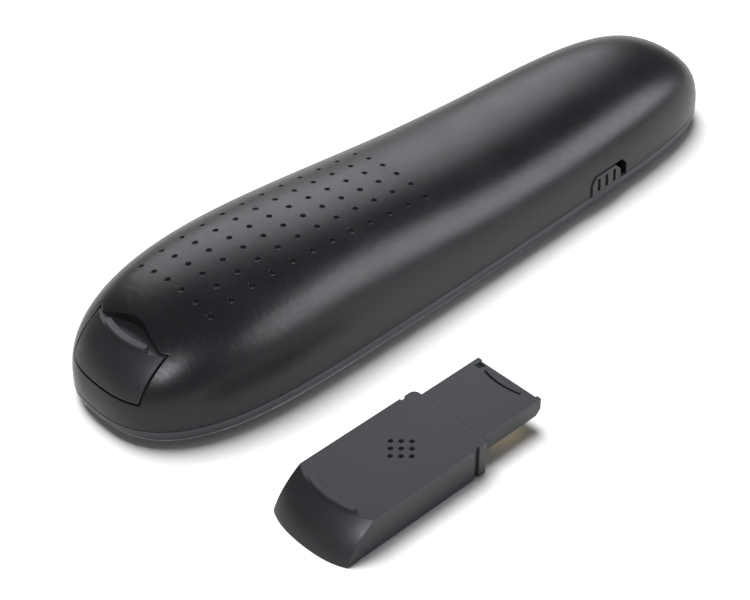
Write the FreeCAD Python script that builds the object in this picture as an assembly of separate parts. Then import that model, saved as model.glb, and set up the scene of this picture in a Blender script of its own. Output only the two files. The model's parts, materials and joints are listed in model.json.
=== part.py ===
# A wireless presentation clicker lying on its control face, with one stick receiver
# docked in its tail and a second one lying beside it. Millimetres, +Z up, +X from the
# tail to the nose, +Y to the side away from the power slider. The origin is on the flat
# control face, on the centreline, REST_FROM_TAIL ahead of the tail.
import FreeCAD
import Part
import math
import os

V = FreeCAD.Vector

# Body
BODY_LENGTH = 123.8
REST_FROM_TAIL = 26.0
SEAM_Z = 2.85
SEAM_GROOVE = 0.2
SHELL_WALL = 1.5
FACE_WALL = 1.6
RIM_DEPTH = 3.3
RIM_END_DEPTH = 2.3

# The back's half width and its rise above the seam, at the tail's end, three places
# counted from the tail, two counted from the nose, and the nose's end.
TAIL_HALF_WIDTH, TAIL_RISE = 8.6, 7.4
HEEL_X, HEEL_HALF_WIDTH, HEEL_RISE = 10.3, 16.0, 15.2
PALM_X, PALM_HALF_WIDTH, PALM_RISE = 34.3, 16.15, 16.75
WAIST_X, WAIST_HALF_WIDTH, WAIST_RISE = 65.9, 15.25, 12.2
NECK_FROM_NOSE, NECK_HALF_WIDTH, NECK_RISE = 33.4, 14.2, 12.3
BROW_FROM_NOSE, BROW_HALF_WIDTH, BROW_RISE = 8.7, 12.85, 12.7
NOSE_HALF_WIDTH, NOSE_RISE = 7.65, 7.1

# The tiny flat where the back's surface ends, at tail and nose
TIP_HALF_WIDTH, TIP_RISE = 1.0, 0.5

# Shares of the half width and rise that shape the cross section
BACK_SIDE, BACK_TOP = 0.52, 0.67
RIM_SIDE, RIM_BOTTOM = 0.8, 0.88

# Rim joint between the shells
LIP_CLEARANCE = 0.15
LIP_WALL = 0.8
LIP_RISE = 1.1

# Dimples on the back
DIMPLE_ROWS = 6
DIMPLE_COLUMNS = 12
DIMPLE_FROM_TAIL = 15.1
DIMPLE_PITCH_X = 3.76
DIMPLE_PITCH_Y = 3.04
DIMPLE_RADIUS = 0.42
DIMPLE_DEPTH = 0.28

# Receiver
RECEIVER_WIDTH = 14.4
RECEIVER_HEIGHT = 5.4
RECEIVER_WALL = 0.9
RECEIVER_BASE_WALL = 0.9
RECEIVER_BOTTOM_Z = 7.3
RECEIVER_FRONT_FROM_TAIL = 28.35
RECEIVER_CORNER = 1.0
PLUG_WIDTH = 12.0
PLUG_LENGTH = 11.5
PLUG_HEIGHT = 2.7
PLUG_DROP = 0.25
PLUG_EAR = 0.75
PLUG_EAR_LENGTH = 1.6
PLUG_TIP_DROP = 0.35
PLUG_ROOT = 1.6
KEY_SLOT_LENGTH = 6.9
KEY_SLOT_WIDTH = 0.35
KEY_SLOT_SAG = 0.5
KEY_SLOT_FROM_TIP = 2.1
CONTACT_COUNT = 4
CONTACT_PITCH = 2.3
CONTACT_WIDTH = 1.3
CONTACT_LENGTH = 6.5
CONTACT_THICKNESS = 0.15
SNAP_GROOVE_FROM_FRONT = 2.4
SNAP_GROOVE_WIDTH = 0.9
SNAP_GROOVE_DEPTH = 0.35
VENT_RADIUS = 0.38
VENT_PITCH = 1.45
VENT_FROM_FRONT = 9.6
RIDGE_WIDTH = 1.1
RIDGE_HEIGHT = 0.5
RIDGE_HALF_SPAN = 3.9
RIDGE_SAG = 0.6
RIDGE_FROM_TAIL = 5.7
STICK_BOARD_THICKNESS = 0.8
STICK_BOARD_LENGTH = 15.0
STICK_CHIP_SIDE = 4.0
STICK_CHIP_HEIGHT = 0.9

# Where the second receiver lies, from the docked one
LOOSE_SHIFT_X = 4.6
LOOSE_SHIFT_Y = -36.6

# Dock
CAP_GAP = 0.3
DOCK_CLEARANCE = 0.3
SLEEVE_WALL = 0.9
SLEEVE_START = 15.5
SLEEVE_FOOT_WIDTH = 1.4
SLEEVE_FOOT_INSET = 2.5
SCOOP_CORNER_FROM_TAIL = 7.2
SCOOP_BULGE = 1.4
CLIP_THICKNESS = 0.35
CLIP_HEIGHT = 3.0
CLIP_LENGTH = 7.0
CLIP_BUMP = 0.2

# Power slider
SLOT_FROM_TAIL = 87.2
SLOT_LENGTH = 9.1
SLOT_TOP_Z = 6.3
SLOT_CORNER = 1.1
KNOB_LENGTH = 7.1
KNOB_GAP = 0.15
KNOB_PROUD = 0.25
KNOB_GROOVES = 3
KNOB_GROOVE_PITCH = 1.95
KNOB_GROOVE_WIDTH = 0.7
KNOB_GROOVE_DEPTH = 0.45
KNOB_TRAVEL = 1.75
KNOB_PLATE_OVERLAP = 0.8
KNOB_PLATE_THICKNESS = 0.8
KNOB_PLATE_HEIGHT = 4.6
KNOB_PLATE_INSET = 0.25
LEVER_WIDTH = 1.2
LEVER_HEIGHT = 0.8
SWITCH_LENGTH = 7.0
SWITCH_DEPTH = 2.4
SWITCH_HEIGHT = 1.8
SWITCH_BACK_Y = 8.4

# Cells and their bay
CELL_DIAMETER = 10.5
CELL_LENGTH = 44.5
CELL_TIP_DIAMETER = 3.8
CELL_TIP_LENGTH = 0.8
CELL_GAP = 0.4
CELL_BOTTOM_Z = 2.0
CELL_CLEARANCE = 0.3
TRAY_WALL = 0.9
TRAY_HEIGHT = 7.2
TRAY_GAP = 0.2
SPRING_ROOM = 2.0
PLATE_ROOM = 0.6
CONTACT_SHEET = 0.3
CONTACT_SHEET_WIDTH = 6.0
CONTACT_SHEET_HEIGHT = 6.0

# Battery door
DOOR_THICKNESS = 1.3
DOOR_GAP = 0.25
DOOR_RECESS = 0.1
DOOR_MARGIN = 0.3
HINGE_PIN_RADIUS = 0.45
HINGE_PIN_LENGTH = 1.4
HINGE_CLEARANCE = 0.05
HINGE_BOSS = 2.4
NAIL_NOTCH_WIDTH = 9.0
NAIL_NOTCH_DEPTH = 1.2

# Main board
BOARD_Z = 4.6
BOARD_THICKNESS = 0.8
BOARD_GAP = 0.5
BOARD_LENGTH = 19.6
BOARD_EDGE_CLEARANCE = 0.3
POST_RADIUS = 1.3
POST_INSET_X = 1.6
POST_TAIL_Y = 6.9
POST_NOSE_Y = 7.0
BOARD_SCREW_RADIUS = 0.6
BOARD_SCREW_HEAD = 1.2
BOARD_SCREW_LENGTH = 3.2
BOARD_SCREW_HEAD_HEIGHT = 0.6

# Buttons, each as place from the tail, side, half length and half width
BUTTONS = {
    "next": (99.6, 5.3, 3.7, 3.5),
    "back": (99.6, -5.3, 3.7, 3.5),
    "laser": (108.0, 0.0, 2.9, 2.9),
    "blank": (93.4, 0.0, 1.9, 1.9),
}
BUTTON_RECESS = 0.35
BUTTON_CLEARANCE = 0.25
BUTTON_CORNER = 1.8
FLANGE_MARGIN = 0.7
FLANGE_GAP = 0.1
FLANGE_THICKNESS = 0.6
BUTTON_TRAVEL = 0.4
MARK_DEPTH = 0.2
TACT_SIDE = 3.4
TACT_HEIGHT = 1.3
TACT_BORE_RADIUS = 1.0
TACT_BORE_DEPTH = 1.0
PLUNGER_RADIUS = 0.8
PLUNGER_ENTRY = 0.4

# Status light
LED_FROM_TAIL = 99.6
LED_LENGTH, LED_WIDTH, LED_HEIGHT = 1.6, 0.8, 0.6
PIPE_RADIUS = 0.7
PIPE_CLEARANCE = 0.1

# Laser
LASER_Z = 8.2
BARREL_RADIUS = 2.5
BARREL_WALL = 0.6
BARREL_LENGTH = 11.0
BARREL_FROM_NOSE = 6.8
BARREL_SEAT_CLEARANCE = 0.03
HOLDER_LENGTH = 4.0
HOLDER_WALL = 1.0
DIODE_FLANGE_HEIGHT = 1.2
DIODE_CAN_LENGTH = 2.0
DIODE_CAN_RADIUS = 1.2
LENS_THICKNESS = 1.2
LENS_INSET = 0.6
LEAD_RADIUS = 0.2
LEAD_SPREAD = 0.9
APERTURE_RADIUS = 1.5
WINDOW_RADIUS = 2.1
WINDOW_THICKNESS = 0.8
WINDOW_FROM_NOSE = 4.2
WINDOW_CLEARANCE = 0.05
NOSE_BOSS_RADIUS = 3.3
NOSE_BOSS_GAP = 0.3

# Case screws
TAIL_SCREW_X, TAIL_SCREW_Y = 20.5, 11.3
NOSE_SCREW_FROM_NOSE, NOSE_SCREW_Y = 11.0, 6.9
SCREW_RADIUS = 0.95
SCREW_HEAD_RADIUS = 1.7
SCREW_HEAD_HEIGHT = 1.0
SCREW_LENGTH = 7.0
SCREW_CLEARANCE = 0.15
COUNTERBORE_DEPTH = 1.3
BOSS_RADIUS = 2.1
PILLAR_TOP_Z = 3.2

# Worked-out places
TAIL_X = -REST_FROM_TAIL
NOSE_X = TAIL_X + BODY_LENGTH
TALL = 60.0


def at(from_tail):
    """The X of a distance measured forward from the tail's end."""
    return TAIL_X + from_tail


def box(x0, x1, y0, y1, z0, z1):
    return Part.makeBox(x1 - x0, y1 - y0, z1 - z0, V(x0, y0, z0))


def rod(x, y, z, radius, length, direction=V(0, 0, 1)):
    return Part.makeCylinder(radius, length, V(x, y, z), direction)


def prism(points, z0, z1):
    """A closed outline of X, Y points raised from z0 to z1."""
    loop = [V(x, y, z0) for x, y in points]
    face = Part.Face(Part.makePolygon(loop + [loop[0]]))
    return face.extrude(V(0, 0, z1 - z0))


def slab(x0, x1, y0, y1, z0, z1, corner):
    """A plate with its four upright edges rounded."""
    plate = box(x0, x1, y0, y1, z0, z1)
    if corner <= 0:
        return plate
    upright = [e for e in plate.Edges if abs(e.Vertexes[0].Z - e.Vertexes[-1].Z) > 1e-6]
    return plate.makeFillet(corner, upright)


def stations(inset):
    """The body's control stations: X, half width and rise, drawn in by inset."""
    return [
        (TAIL_X + inset, TAIL_HALF_WIDTH - inset, TAIL_RISE - inset),
        (at(HEEL_X), HEEL_HALF_WIDTH - inset, HEEL_RISE - inset),
        (at(PALM_X), PALM_HALF_WIDTH - inset, PALM_RISE - inset),
        (at(WAIST_X), WAIST_HALF_WIDTH - inset, WAIST_RISE - inset),
        (NOSE_X - NECK_FROM_NOSE, NECK_HALF_WIDTH - inset, NECK_RISE - inset),
        (NOSE_X - BROW_FROM_NOSE, BROW_HALF_WIDTH - inset, BROW_RISE - inset),
        (NOSE_X - inset, NOSE_HALF_WIDTH - inset, NOSE_RISE - inset),
    ]


def half_body(profile, side, top):
    """A solid under one cubic surface: rows of control points along the body, each row
    a cross section shared by all, ending in a tiny flat on the seam at tail and nose."""
    section = [(1, 0), (1, side), (top, 1), (-top, 1), (-1, side), (-1, 0)]
    tip_rise = math.copysign(TIP_RISE, profile[0][2])
    tips = [(profile[end][0], TIP_HALF_WIDTH, tip_rise) for end in (0, -1)]
    rows = [tips[0]] + profile + [tips[1]]
    poles = [[V(x, w * c, SEAM_Z + h * g) for c, g in section] for x, w, h in rows]
    surface = Part.BSplineSurface()
    surface.buildFromPolesMultsKnots(
        poles, [4, 1, 1, 1, 1, 1, 4], [4, 1, 1, 4],
        [0, 1, 2, 3, 4, 5, 6], [0, 1, 2, 3], False, False, 3, 3)
    faces = [surface.toShape()]
    ends = []
    for u in (0, 6):
        arc = surface.uIso(u).toShape()
        chord = Part.makeLine(surface.value(u, 0), surface.value(u, 3))
        faces.append(Part.Face(Part.Wire([arc, chord])))
        ends.append(chord)
    sides = [surface.vIso(v).toShape() for v in (0, 3)]
    faces.append(Part.Face(Part.Wire(Part.__sortEdges__(sides + ends))))
    shell = Part.Shell(faces)
    shell.sewShape()
    solid = Part.Solid(shell)
    if solid.Volume < 0:
        solid.reverse()
    return solid


def back_solid(inset):
    """The body above the seam, drawn in by inset."""
    return half_body(stations(inset), BACK_SIDE, BACK_TOP)


def rim_solid(inset, floor):
    """The body below the seam, drawn in sideways by inset and cut level at floor."""
    depth = [RIM_END_DEPTH] + [RIM_DEPTH] * 5 + [RIM_END_DEPTH]
    profile = [(x, w, -d) for (x, w, _), d in zip(stations(inset), depth)]
    solid = half_body(profile, RIM_SIDE, RIM_BOTTOM)
    return solid.common(box(TAIL_X - 1, NOSE_X + 1, -TALL, TALL, floor, SEAM_Z))


def write(name, shape):
    clean = shape.removeSplitter()
    clean.exportStep("parts/" + name + ".step")
    print(name, len(clean.Solids), round(clean.Volume, 1), clean.isValid())
    return clean


# Places shared by several pieces
RECEIVER_TOP_Z = RECEIVER_BOTTOM_Z + RECEIVER_HEIGHT
RECEIVER_FRONT_X = at(RECEIVER_FRONT_FROM_TAIL)
PLUG_TIP_X = RECEIVER_FRONT_X + PLUG_LENGTH
SLEEVE_END_X = PLUG_TIP_X + DOCK_CLEARANCE + SLEEVE_WALL
TRAY_START_X = SLEEVE_END_X + TRAY_GAP
CELL_ROOM = CELL_LENGTH + SPRING_ROOM + PLATE_ROOM
BAY_START_X = TRAY_START_X + TRAY_WALL
BAY_END_X = BAY_START_X + CELL_ROOM
TRAY_END_X = BAY_END_X + TRAY_WALL
CELL_Z = CELL_BOTTOM_Z + CELL_DIAMETER / 2
CELL_Y = (CELL_DIAMETER + CELL_GAP) / 2
BAY_HALF_WIDTH = CELL_DIAMETER + CELL_GAP / 2 + CELL_CLEARANCE
BOARD_START_X = TRAY_END_X + BOARD_GAP
BOARD_END_X = BOARD_START_X + BOARD_LENGTH
BOARD_TOP_Z = BOARD_Z + BOARD_THICKNESS
SLOT_X = at(SLOT_FROM_TAIL)
KNOB_X = SLOT_X + KNOB_GAP
BARREL_END_X = NOSE_X - BARREL_FROM_NOSE
BARREL_START_X = BARREL_END_X - BARREL_LENGTH
WINDOW_X = NOSE_X - WINDOW_FROM_NOSE
DOOR_X0 = BAY_START_X + DOOR_GAP
DOOR_X1 = BAY_END_X - DOOR_GAP
DOOR_HALF_WIDTH = BAY_HALF_WIDTH - DOOR_GAP
HINGE_Z = DOOR_RECESS + DOOR_THICKNESS / 2
HINGE_X = DOOR_X0 + DOOR_THICKNESS / 2
CASE_SCREWS = [
    (at(TAIL_SCREW_X), TAIL_SCREW_Y), (at(TAIL_SCREW_X), -TAIL_SCREW_Y),
    (NOSE_X - NOSE_SCREW_FROM_NOSE, NOSE_SCREW_Y), (NOSE_X - NOSE_SCREW_FROM_NOSE, -NOSE_SCREW_Y),
]
POSTS = [
    (BOARD_START_X + POST_INSET_X, POST_TAIL_Y), (BOARD_START_X + POST_INSET_X, -POST_TAIL_Y),
    (BOARD_END_X - POST_INSET_X, POST_NOSE_Y), (BOARD_END_X - POST_INSET_X, -POST_NOSE_Y),
]

BACK = back_solid(0)
ROOM = back_solid(SHELL_WALL)
FREE_ROOM = back_solid(SHELL_WALL + LIP_CLEARANCE)


def receiver_envelope(grow):
    """The docked receiver's straight block without its plug, grown by a clearance."""
    half = RECEIVER_WIDTH / 2 + grow
    return box(TAIL_X - 5, RECEIVER_FRONT_X + grow, -half, half,
               RECEIVER_BOTTOM_Z - grow, RECEIVER_TOP_Z + grow)


def plug_envelope(grow):
    half = PLUG_WIDTH / 2 + grow
    top = RECEIVER_TOP_Z - PLUG_DROP
    return box(RECEIVER_FRONT_X - PLUG_ROOT, PLUG_TIP_X + grow, -half, half,
               top - PLUG_HEIGHT - grow, top + grow)


def scoop():
    """The finger scoop: all that stands over the receiver's top, back from a wall that
    bows towards the nose."""
    corner = at(SCOOP_CORNER_FROM_TAIL)
    half = RECEIVER_WIDTH / 2 + CAP_GAP
    bow = Part.BSplineCurve()
    bow.interpolate([
        V(corner, -half, 0), V(corner + 0.15 * SCOOP_BULGE, -0.62 * half, 0),
        V(corner + SCOOP_BULGE, 0, 0),
        V(corner + 0.15 * SCOOP_BULGE, 0.62 * half, 0), V(corner, half, 0)])
    back = Part.makePolygon([V(corner, half, 0), V(TAIL_X - 5, half, 0),
                             V(TAIL_X - 5, -half, 0), V(corner, -half, 0)])
    face = Part.Face(Part.Wire([bow.toShape()] + back.Edges))
    face.translate(V(0, 0, RECEIVER_TOP_Z))
    return face.extrude(V(0, 0, 20))


def dimples():
    """Shallow round pits in rows along the back."""
    pits = []
    for column in range(DIMPLE_COLUMNS):
        x = at(DIMPLE_FROM_TAIL) + column * DIMPLE_PITCH_X
        for row in range(DIMPLE_ROWS):
            y = (row - (DIMPLE_ROWS - 1) / 2) * DIMPLE_PITCH_Y
            line = Part.makeLine(V(x, y, SEAM_Z + 1), V(x, y, TALL))
            crest = max(v.Z for v in BACK.common(line).Vertexes)
            pits.append(rod(x, y, crest - DIMPLE_DEPTH, DIMPLE_RADIUS, crest + TALL))
    return Part.makeCompound(pits)


def slider_slot(grow=0.0):
    """The notch in the rim for the power slider, its upper corners cut back."""
    x0, x1, top = SLOT_X - grow, SLOT_X + SLOT_LENGTH + grow, SLOT_TOP_Z + grow
    outline = [(x0, SEAM_Z - 1), (x0, top - SLOT_CORNER), (x0 + SLOT_CORNER, top),
               (x1 - SLOT_CORNER, top), (x1, top - SLOT_CORNER), (x1, SEAM_Z - 1)]
    loop = [V(x, -TALL, z) for x, z in outline]
    face = Part.Face(Part.makePolygon(loop + [loop[0]]))
    return face.extrude(V(0, TALL - SWITCH_BACK_Y, 0))


def screw_boss(x, y):
    """A boss that hangs from the back to the pillar below it."""
    post = rod(x, y, PILLAR_TOP_Z, BOSS_RADIUS, TALL)
    return post.common(back_solid(SHELL_WALL / 2))


def grip_shell():
    above = box(TAIL_X - 1, NOSE_X + 1, -TALL, TALL, SEAM_Z + SEAM_GROOVE, TALL)
    shell = BACK.common(above).cut(ROOM)
    for x, y in CASE_SCREWS:
        shell = shell.fuse(screw_boss(x, y))
    nose_boss = rod(BARREL_END_X + NOSE_BOSS_GAP, 0, LASER_Z, NOSE_BOSS_RADIUS, TALL, V(1, 0, 0))
    shell = shell.fuse(nose_boss.common(back_solid(SHELL_WALL / 2)))
    for x, y in CASE_SCREWS:
        tip = COUNTERBORE_DEPTH + SCREW_LENGTH
        shell = shell.cut(rod(x, y, 0, SCREW_RADIUS, tip + SCREW_CLEARANCE))
    shell = shell.cut(receiver_envelope(CAP_GAP).fuse(scoop()))
    shell = shell.cut(slider_slot())
    shell = shell.cut(rod(BARREL_END_X, 0, LASER_Z, APERTURE_RADIUS, TALL, V(1, 0, 0)))
    recess = WINDOW_RADIUS + WINDOW_CLEARANCE
    shell = shell.cut(rod(WINDOW_X, 0, LASER_Z, recess, TALL, V(1, 0, 0)))
    return shell.cut(dimples())


def button_plate(name, grow, z0, z1):
    """A button's outline, grown by a clearance or a flange, between two heights."""
    from_tail, y, half_length, half_width = BUTTONS[name]
    x = at(from_tail)
    corner = min(BUTTON_CORNER + grow, 0.9 * (half_width + grow))
    return slab(x - half_length - grow, x + half_length + grow,
                y - half_width - grow, y + half_width + grow, z0, z1, corner)


def hinge_rods(radius, length):
    """The door's two hinge pins, or the holes for them."""
    reach = DOOR_HALF_WIDTH
    far = rod(HINGE_X, reach, HINGE_Z, radius, length, V(0, 1, 0))
    near = rod(HINGE_X, -reach, HINGE_Z, radius, length, V(0, -1, 0))
    return far, near


def control_shell():
    shell = rim_solid(0, 0)
    shell = shell.cut(rim_solid(SHELL_WALL, FACE_WALL))
    outer = back_solid(SHELL_WALL + LIP_CLEARANCE)
    lip = outer.cut(back_solid(SHELL_WALL + LIP_CLEARANCE + LIP_WALL))
    lip = lip.common(box(TAIL_X, NOSE_X, -TALL, TALL, SEAM_Z, SEAM_Z + LIP_RISE))
    for x, y in CASE_SCREWS:
        lip = lip.cut(rod(x, y, 0, BOSS_RADIUS + LIP_CLEARANCE, TALL))
    root = rim_solid(SHELL_WALL + LIP_CLEARANCE, FACE_WALL)
    root = root.cut(rim_solid(SHELL_WALL + LIP_CLEARANCE + LIP_WALL, FACE_WALL))
    shell = shell.fuse([lip, root])
    for x, y in CASE_SCREWS:
        shell = shell.fuse(rod(x, y, FACE_WALL / 2, BOSS_RADIUS, PILLAR_TOP_Z - FACE_WALL / 2))
    for x, y in POSTS:
        shell = shell.fuse(rod(x, y, FACE_WALL / 2, POST_RADIUS, BOARD_Z - FACE_WALL / 2))
    inner = DOOR_HALF_WIDTH + DOOR_GAP
    for side in (-1, 1):
        near, far = sorted((side * inner, side * (inner + HINGE_PIN_LENGTH + HINGE_CLEARANCE)))
        shell = shell.fuse(box(HINGE_X - HINGE_BOSS / 2, HINGE_X + HINGE_BOSS / 2, near, far,
                               FACE_WALL / 2, HINGE_Z + HINGE_BOSS / 2))
    shell = shell.cut(box(BAY_START_X, BAY_END_X, -BAY_HALF_WIDTH, BAY_HALF_WIDTH, -1, TALL))
    for pin in hinge_rods(HINGE_PIN_RADIUS + HINGE_CLEARANCE, HINGE_PIN_LENGTH + HINGE_CLEARANCE + 0.1):
        shell = shell.cut(pin)
    for name in BUTTONS:
        shell = shell.cut(button_plate(name, BUTTON_CLEARANCE, -1, FACE_WALL + 0.5))
    shell = shell.cut(rod(at(LED_FROM_TAIL), 0, -1, PIPE_RADIUS + PIPE_CLEARANCE, FACE_WALL + 2))
    for x, y in CASE_SCREWS:
        shell = shell.cut(rod(x, y, -1, SCREW_HEAD_RADIUS + SCREW_CLEARANCE, 1 + COUNTERBORE_DEPTH))
        shell = shell.cut(rod(x, y, 0, SCREW_RADIUS + SCREW_CLEARANCE, TALL))
    for x, y in POSTS:
        shell = shell.cut(rod(x, y, FACE_WALL, BOARD_SCREW_RADIUS, TALL))
    plate_room = box(SLOT_X - KNOB_PLATE_OVERLAP - 0.3,
                     SLOT_X + SLOT_LENGTH + KNOB_PLATE_OVERLAP + 0.3,
                     -TALL, -SWITCH_BACK_Y, SEAM_Z, TALL)
    return shell.cut(plate_room)


def battery_door():
    x0, x1, half = DOOR_X0, DOOR_X1, DOOR_HALF_WIDTH
    z0, z1 = DOOR_RECESS, DOOR_RECESS + DOOR_THICKNESS
    plate = box(x0, x1, -half, half, z0, z1)
    tail_edges = [e for e in plate.Edges
                  if abs(e.BoundBox.XMax - x0) < 1e-6 and e.BoundBox.YLength > 1]
    plate = plate.makeFillet(0.49 * DOOR_THICKNESS, tail_edges)
    for pin in hinge_rods(HINGE_PIN_RADIUS, HINGE_PIN_LENGTH):
        plate = plate.fuse(pin)
    notch = rod(x1 + NAIL_NOTCH_WIDTH / 2 - NAIL_NOTCH_DEPTH, 0, z0 - 1,
                NAIL_NOTCH_WIDTH / 2, 1 + DOOR_THICKNESS / 2)
    return plate.cut(notch)


def battery_tray():
    """A frame round the cells, standing on the control shell and cut to the room left."""
    half = BAY_HALF_WIDTH
    top = FACE_WALL + TRAY_HEIGHT
    frame = box(TRAY_START_X, TRAY_END_X, -half - TRAY_WALL, half + TRAY_WALL, FACE_WALL, top)
    frame = frame.cut(box(BAY_START_X, BAY_END_X, -half, half, 0, TALL))
    keep = HINGE_BOSS / 2 + DOOR_MARGIN
    frame = frame.cut(box(HINGE_X - keep, HINGE_X + keep, -TALL, TALL, 0, HINGE_Z + keep))
    slider = box(SLOT_X - KNOB_PLATE_OVERLAP - DOOR_MARGIN, TRAY_END_X + 1,
                 -TALL, -SWITCH_BACK_Y, 0, TALL)
    frame = frame.cut(slider)
    rim = rim_solid(SHELL_WALL + 2 * LIP_CLEARANCE + LIP_WALL, FACE_WALL)
    above = back_solid(SHELL_WALL + 2 * LIP_CLEARANCE + LIP_WALL)
    return frame.common(above.fuse(rim))


def cell(side):
    """One cell: a can with its tip, the two lying opposite ways."""
    body = CELL_LENGTH - CELL_TIP_LENGTH
    start = BAY_START_X + (SPRING_ROOM if side > 0 else PLATE_ROOM + CELL_TIP_LENGTH)
    can = rod(start, side * CELL_Y, CELL_Z, CELL_DIAMETER / 2, body, V(1, 0, 0))
    rims = [e for e in can.Edges if e.BoundBox.XLength < 1e-6]
    can = can.makeFillet(0.4, rims)
    tip_x = start + body - 0.1 if side > 0 else start - CELL_TIP_LENGTH
    tip = rod(tip_x, side * CELL_Y, CELL_Z, CELL_TIP_DIAMETER / 2, CELL_TIP_LENGTH + 0.1, V(1, 0, 0))
    return can.fuse(tip)


def contact_sheet(x, side):
    """A flat contact against the tray's end wall, x being its tail-side face."""
    half = CONTACT_SHEET_WIDTH / 2
    return box(x, x + CONTACT_SHEET, side * CELL_Y - half, side * CELL_Y + half,
               CELL_Z - CONTACT_SHEET_HEIGHT / 2, CELL_Z + CONTACT_SHEET_HEIGHT / 2)


def cell_plates():
    """The two flat contacts that the cells' tips press on."""
    far = contact_sheet(BAY_END_X - CONTACT_SHEET, 1)
    near = contact_sheet(BAY_START_X, -1)
    return Part.makeCompound([far, near])


def leaf(wall_x, side, way):
    """A bowed leaf from an end wall to the cell's flat end."""
    t, reach = CONTACT_SHEET, way * (SPRING_ROOM - 0.05)
    low, high = CELL_Z - CONTACT_SHEET_HEIGHT / 2, CELL_Z + CONTACT_SHEET_HEIGHT / 2
    outline = [(0, low), (way * t, low), (reach, CELL_Z - 0.6), (reach, CELL_Z + 0.6),
               (reach - way * t, CELL_Z + 0.6), (reach - way * t, CELL_Z - 0.3),
               (way * t, low + 1.6), (way * t, high), (0, high)]
    loop = [V(wall_x + x, side * CELL_Y - CONTACT_SHEET_WIDTH / 2, z) for x, z in outline]
    return Part.Face(Part.makePolygon(loop + [loop[0]])).extrude(V(0, CONTACT_SHEET_WIDTH, 0))


def cell_springs():
    """The two bowed leaves that press on the cells' flat ends."""
    return Part.makeCompound([leaf(BAY_START_X, 1, 1), leaf(BAY_END_X, -1, -1)])


def dock_sleeve():
    """A box round the docked receiver and its plug, closed towards the nose, on two feet."""
    wall = DOCK_CLEARANCE + SLEEVE_WALL
    x0 = at(SLEEVE_START)
    outer = receiver_envelope(wall).fuse(plug_envelope(wall))
    outer = outer.common(box(x0, SLEEVE_END_X, -TALL, TALL, 0, TALL))
    half = PLUG_WIDTH / 2 + wall
    for x in (x0 + SLEEVE_FOOT_INSET, SLEEVE_END_X - SLEEVE_FOOT_INSET - SLEEVE_FOOT_WIDTH):
        outer = outer.fuse(box(x, x + SLEEVE_FOOT_WIDTH, -half, half, FACE_WALL, RECEIVER_TOP_Z - 2))
    outer = outer.cut(receiver_envelope(DOCK_CLEARANCE).fuse(plug_envelope(DOCK_CLEARANCE)))
    for side in (-1, 1):
        outer = outer.cut(clip_window(side))
    rim = rim_solid(SHELL_WALL + LIP_CLEARANCE, FACE_WALL)
    return outer.common(FREE_ROOM.fuse(rim))


def clip_window(side):
    """The window in the sleeve's side that a clip fills."""
    y0, y1 = sorted((side * RECEIVER_WIDTH / 2, side * (RECEIVER_WIDTH / 2 + DOCK_CLEARANCE + SLEEVE_WALL)))
    x1 = RECEIVER_FRONT_X - SNAP_GROOVE_FROM_FRONT + CLIP_LENGTH / 2
    z = (RECEIVER_BOTTOM_Z + RECEIVER_TOP_Z) / 2
    return box(x1 - CLIP_LENGTH, x1, y0 - 0.1, y1 + 0.1, z - CLIP_HEIGHT / 2, z + CLIP_HEIGHT / 2)


def dock_clips():
    """Two bowed spring strips in the sleeve's sides, near the receiver's snap grooves."""
    clips = []
    x1 = RECEIVER_FRONT_X - SNAP_GROOVE_FROM_FRONT + CLIP_LENGTH / 2
    middle = x1 - CLIP_LENGTH / 2
    z = (RECEIVER_BOTTOM_Z + RECEIVER_TOP_Z - CLIP_HEIGHT) / 2
    for side in (-1, 1):
        base = RECEIVER_WIDTH / 2 + DOCK_CLEARANCE + CLIP_THICKNESS
        near = base - CLIP_THICKNESS
        outline = [(x1 - CLIP_LENGTH, near), (middle - 1, near), (middle - 0.4, near - CLIP_BUMP),
                   (middle + 0.4, near - CLIP_BUMP), (middle + 1, near), (x1, near),
                   (x1, base), (x1 - CLIP_LENGTH, base)]
        clips.append(prism([(x, side * y) for x, y in outline], z, z + CLIP_HEIGHT))
    return Part.makeCompound(clips)


def main_board():
    z0, z1 = BOARD_Z, BOARD_TOP_Z
    board = box(BOARD_START_X, BOARD_END_X, -TALL, TALL, z0, z1)
    inset = SHELL_WALL + LIP_CLEARANCE + LIP_WALL + BOARD_EDGE_CLEARANCE
    board = board.common(back_solid(inset))
    for x, y in POSTS:
        board = board.cut(rod(x, y, 0, BOARD_SCREW_RADIUS + 0.1, TALL))
    return board


def screw(x, y, z, radius, length, head_radius, head_height):
    """A screw driven upwards, z being the underside of its head, with a cross recess."""
    body = rod(x, y, z, head_radius, head_height).fuse(rod(x, y, z, radius, head_height + length))
    arm, width, depth = 0.6 * head_radius, 0.22 * head_radius, 0.6 * head_height
    body = body.cut(box(x - arm, x + arm, y - width, y + width, z, z + depth))
    return body.cut(box(x - width, x + width, y - arm, y + arm, z, z + depth))


def case_screws():
    seat = COUNTERBORE_DEPTH - SCREW_HEAD_HEIGHT
    return Part.makeCompound([
        screw(x, y, seat, SCREW_RADIUS, SCREW_LENGTH, SCREW_HEAD_RADIUS, SCREW_HEAD_HEIGHT)
        for x, y in CASE_SCREWS])


def board_screws():
    """The board's screws are driven downwards into its posts."""
    made = []
    for x, y in POSTS:
        one = screw(x, y, 0, BOARD_SCREW_RADIUS, BOARD_SCREW_LENGTH,
                    BOARD_SCREW_HEAD, BOARD_SCREW_HEAD_HEIGHT)
        one.rotate(V(x, y, 0), V(1, 0, 0), 180)
        one.translate(V(0, 0, BOARD_TOP_Z + BOARD_SCREW_HEAD_HEIGHT))
        made.append(one)
    return Part.makeCompound(made)


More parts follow.
